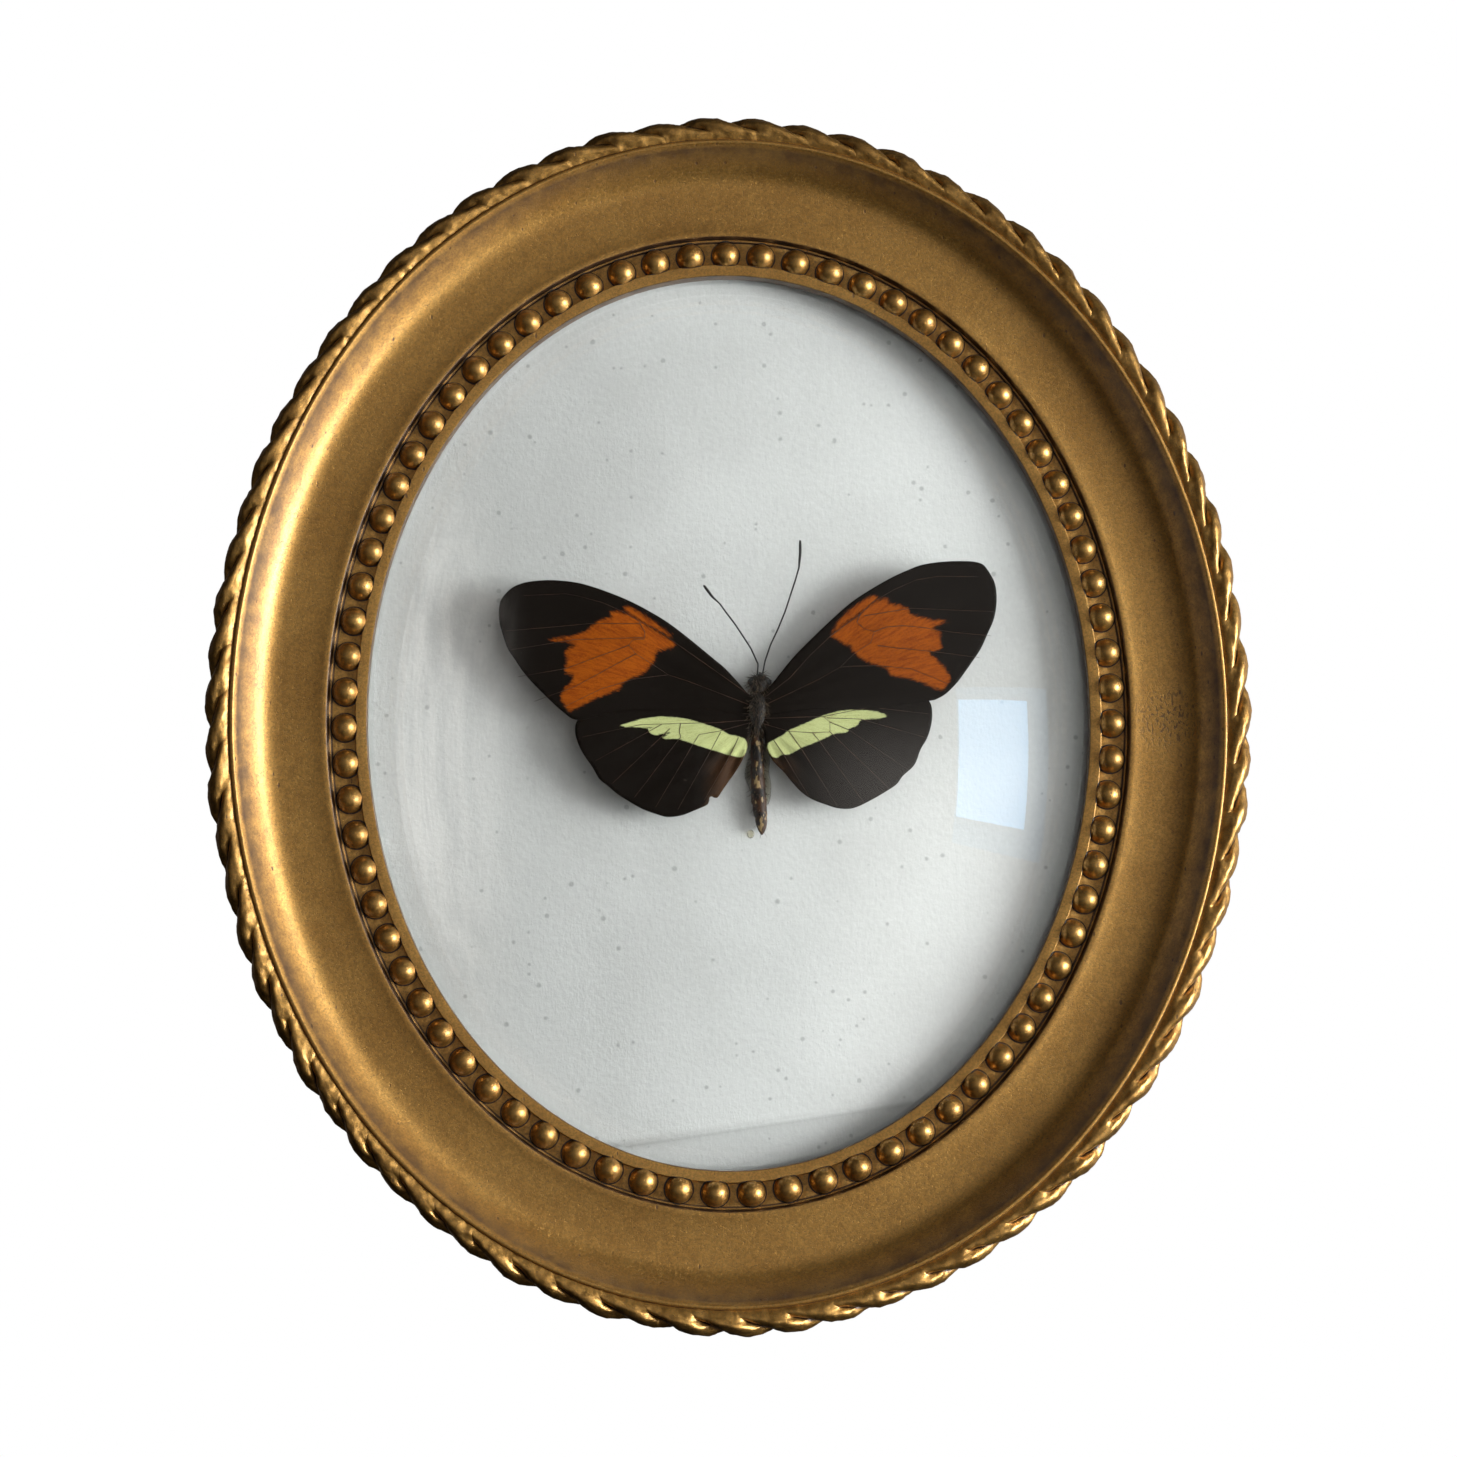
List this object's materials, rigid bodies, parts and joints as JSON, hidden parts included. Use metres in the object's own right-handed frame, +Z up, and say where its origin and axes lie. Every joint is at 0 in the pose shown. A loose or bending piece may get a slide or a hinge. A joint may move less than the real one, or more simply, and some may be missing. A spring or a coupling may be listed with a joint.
{
  "type": "framed butterfly under domed glass",
  "caption": "Real butterfly glued to pale card under a clear domed oval glass, in an aged gilt oval wall frame with a rope edge and a beaded sight border.",
  "frame": {"origin": "centre of the backing board's rear face, on the wall plane", "axes": "+Z up as it hangs, the front faces -Y, the back rests on the wall along +Y, +X to the viewer's right"},
  "size_m": [0.1458, 0.0246, 0.1708],
  "materials": {
    "aged_gilt": "moulded wood composition with worn gold leaf and dark wash in the hollows",
    "clear_glass": "clear polished blown glass",
    "pale_card": "matt rough watercolour paper, pale grey-blue",
    "backing_board": "matt brown fibre board",
    "butterfly": "scaled wings, near black with orange bands and pale yellow bars, hairy dark body",
    "clear_glue": "clear set glue",
    "hanger_metal": "dull brassed sheet metal"
  },
  "bodies": {
    "root": {"frame_moulding": "aged_gilt", "glass_dome": "clear_glass", "card": "pale_card", "backing_board": "backing_board", "butterfly": "butterfly", "glue_pad": "clear_glue", "hanger_plate": "hanger_metal", "hanger_nail_left": "hanger_metal", "hanger_nail_right": "hanger_metal"}
  },
  "joints": []
}
